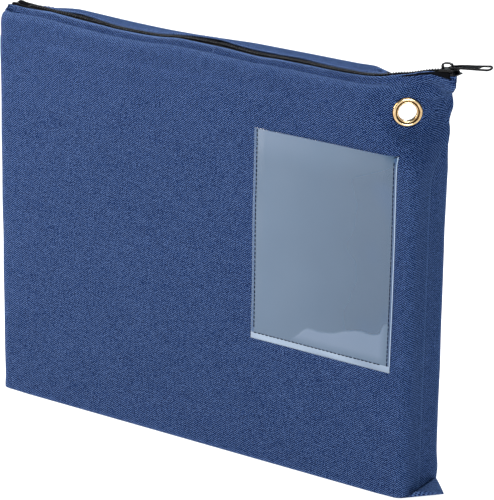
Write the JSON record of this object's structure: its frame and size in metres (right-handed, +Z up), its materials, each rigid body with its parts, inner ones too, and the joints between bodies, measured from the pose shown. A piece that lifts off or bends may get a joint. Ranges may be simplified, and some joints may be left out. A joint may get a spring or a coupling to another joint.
{
  "type": "cash deposit bag",
  "caption": "Boxed-out woven deposit bag with a coil zipper along the top, a clear card window and a brass seal eyelet.",
  "frame": {"origin": "on the resting plane, under the middle of the boxed body", "axes": "+X towards the closed end of the zipper and the eyelet, -Y out of the front with the card window, +Z up"},
  "size_m": [0.4656, 0.0518, 0.3639],
  "materials": {
    "cloth": "woven nylon canvas, mid blue with lighter flecks",
    "zipper_tape": "black woven zipper tape",
    "zipper_coil": "black nylon coil",
    "zipper_stop": "black enamelled stops",
    "zip_thread": "blue sewing thread",
    "window_thread": "dark navy sewing thread",
    "window_film": "clear flexible film, slightly cloudy",
    "slider": "black enamel over die-cast zinc",
    "pull_tab": "black enamel over die-cast zinc",
    "brass": "bright rolled brass"
  },
  "bodies": {
    "root": {"back_coil_left": "zipper_coil", "back_coil_right": "zipper_coil", "back_corner_left": "cloth", "back_corner_right": "cloth", "back_panel": "cloth", "back_tape_left": "zipper_tape", "back_tape_right": "zipper_tape", "back_zip_stitching_left": "zip_thread", "back_zip_stitching_right": "zip_thread", "bottom_panel": "cloth", "bottom_stop": "zipper_stop", "front_coil_left": "zipper_coil", "front_coil_right": "zipper_coil", "front_corner_left": "cloth", "front_corner_right": "cloth", "front_panel": "cloth", "front_tape_left": "zipper_tape", "front_tape_right": "zipper_tape", "front_zip_stitching_left": "zip_thread", "front_zip_stitching_right": "zip_thread", "grommet": "brass", "grommet_washer": "brass", "left_bottom_ear": "cloth", "left_seam_allowance": "cloth", "left_side_panel": "cloth", "right_bottom_ear": "cloth", "right_seam_allowance": "cloth", "right_side_panel": "cloth", "top_stop_back": "zipper_stop", "top_stop_front": "zipper_stop", "window_film": "window_film", "window_stitching": "window_thread"},
    "front_lip": {"front_coil_middle": "zipper_coil", "front_lip_middle": "cloth", "front_tape_middle": "zipper_tape", "front_zip_stitching_middle": "zip_thread"},
    "back_lip": {"back_coil_middle": "zipper_coil", "back_lip_middle": "cloth", "back_tape_middle": "zipper_tape", "back_zip_stitching_middle": "zip_thread"},
    "slider": {"slider_body": "slider"},
    "pull": {"pull_tab": "pull_tab"}
  },
  "joints": [
    {"name": "zipper_slide", "type": "hinge", "parent": "root", "child": "slider", "pos_m": [-0.0432, 0, 2.186], "axis": [0, 1, 0], "range_deg": [0, 12.2]},
    {"name": "pull_tab_swing", "type": "hinge", "parent": "slider", "child": "pull", "pos_m": [0.21649, 0, 0.35795], "axis": [0, -1, 0], "range_deg": [0, 165]},
    {"name": "front_lip_fold", "type": "hinge", "parent": "root", "child": "front_lip", "pos_m": [0, -0.0254, 0.318], "axis": [1, 0, 0], "range_deg": [0, 60]},
    {"name": "back_lip_fold", "type": "hinge", "parent": "root", "child": "back_lip", "pos_m": [0, 0.0254, 0.333], "axis": [-1, 0, 0], "range_deg": [0, 75]}
  ]
}
